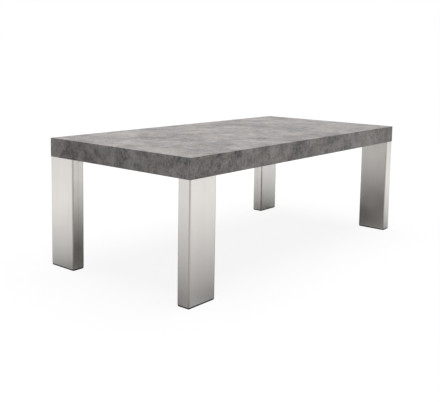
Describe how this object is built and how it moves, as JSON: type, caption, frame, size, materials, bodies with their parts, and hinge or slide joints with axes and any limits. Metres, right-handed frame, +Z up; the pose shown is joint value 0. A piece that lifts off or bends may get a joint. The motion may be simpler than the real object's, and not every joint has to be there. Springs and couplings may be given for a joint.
{
  "type": "extendable dining table",
  "caption": "Rectangular extending table with a thick concrete-look slab top that parts at mid-length and flat brushed steel tube legs set flush at the corners.",
  "frame": {"origin": "on the floor, under the middle of the closed table", "axes": "+X along the table's length, the front long side faces -Y, +Z up"},
  "size_m": [2.2, 1.1, 0.76],
  "materials": {
    "concrete_laminate": "concrete-look laminate on chipboard, matt, with soft cloudy mottling",
    "brushed_leg_steel": "stainless steel sheet, fine brushed grain running down the leg",
    "foot_plastic": "black plastic, matt",
    "beech": "waxed solid beech",
    "aluminium_profile": "mill-finish aluminium extrusion",
    "dark_painted_steel": "black powder coat, satin",
    "zinc_steel": "bright zinc plate",
    "brass_fittings": "turned brass, satin",
    "nylon": "natural nylon",
    "rubber": "black rubber",
    "felt": "pressed grey felt"
  },
  "bodies": {
    "left_half": {"left_top_panel": "concrete_laminate", "left_front_apron": "concrete_laminate", "left_rear_apron": "concrete_laminate", "left_end_apron": "concrete_laminate", "left_battens": "beech", "left_bearers": "beech", "left_tracks": "aluminium_profile", "left_front_leg": "brushed_leg_steel", "left_rear_leg": "brushed_leg_steel", "left_leg_plates": "dark_painted_steel", "left_front_foot": "foot_plastic", "left_rear_foot": "foot_plastic", "left_leg_brackets": "dark_painted_steel", "left_leg_bolts": "zinc_steel", "left_screws": "zinc_steel", "left_dowel_pins": "brass_fittings", "left_sync_rack": "nylon", "left_rack_bracket": "dark_painted_steel", "front_lock_plate": "zinc_steel", "rear_lock_plate": "zinc_steel"},
    "right_half": {"right_top_panel": "concrete_laminate", "right_front_apron": "concrete_laminate", "right_rear_apron": "concrete_laminate", "right_end_apron": "concrete_laminate", "right_battens": "beech", "right_bearers": "beech", "right_tracks": "aluminium_profile", "right_front_leg": "brushed_leg_steel", "right_rear_leg": "brushed_leg_steel", "right_leg_plates": "dark_painted_steel", "right_front_foot": "foot_plastic", "right_rear_foot": "foot_plastic", "right_leg_brackets": "dark_painted_steel", "right_leg_bolts": "zinc_steel", "right_screws": "zinc_steel", "right_pin_bushes": "nylon", "right_sync_rack": "nylon", "right_rack_bracket": "dark_painted_steel", "front_lock_keeper": "zinc_steel", "rear_lock_keeper": "zinc_steel"},
    "carriage": {"front_slide_bar": "beech", "rear_slide_bar": "beech", "carriage_hangers": "dark_painted_steel", "hanger_screws": "zinc_steel", "crossbars": "aluminium_profile", "leaf_lower_panel": "concrete_laminate", "leaf_upper_panel": "concrete_laminate", "leaf_hinges": "brass_fittings", "leaf_bumpers": "rubber", "leaf_felts": "felt", "leaf_dowel_pins": "brass_fittings", "leaf_pin_bushes": "nylon", "rack_guide": "dark_painted_steel", "pinion_axle": "zinc_steel"},
    "pinion": {"sync_pinion": "nylon"},
    "front_lever": {"front_lock_lever": "zinc_steel"},
    "rear_lever": {"rear_lock_lever": "zinc_steel"}
  },
  "joints": [
    {"name": "extension", "type": "slide", "parent": "left_half", "child": "right_half", "axis": [1, 0, 0], "range_m": [0, 0.8]},
    {"name": "carriage_slide", "type": "slide", "parent": "left_half", "child": "carriage", "axis": [1, 0, 0], "range_m": [0, 0.4]},
    {"name": "pinion_turn", "type": "hinge", "parent": "carriage", "child": "pinion", "pos_m": [0, 0, 0.6575], "axis": [0, 0, 1], "range_deg": [-956, 0]},
    {"name": "front_lock", "type": "hinge", "parent": "left_half", "child": "front_lever", "pos_m": [-0.028, -0.49, 0.7185], "axis": [0, 0, -1], "range_deg": [0, 90]},
    {"name": "rear_lock", "type": "hinge", "parent": "left_half", "child": "rear_lever", "pos_m": [-0.028, 0.49, 0.7185], "axis": [0, 0, 1], "range_deg": [0, 90]}
  ],
  "couplings": [
    {"joint": "carriage_slide", "follows": "extension", "ratio": 0.5},
    {"joint": "pinion_turn", "follows": "extension", "rad_per_m": -20.833}
  ]
}
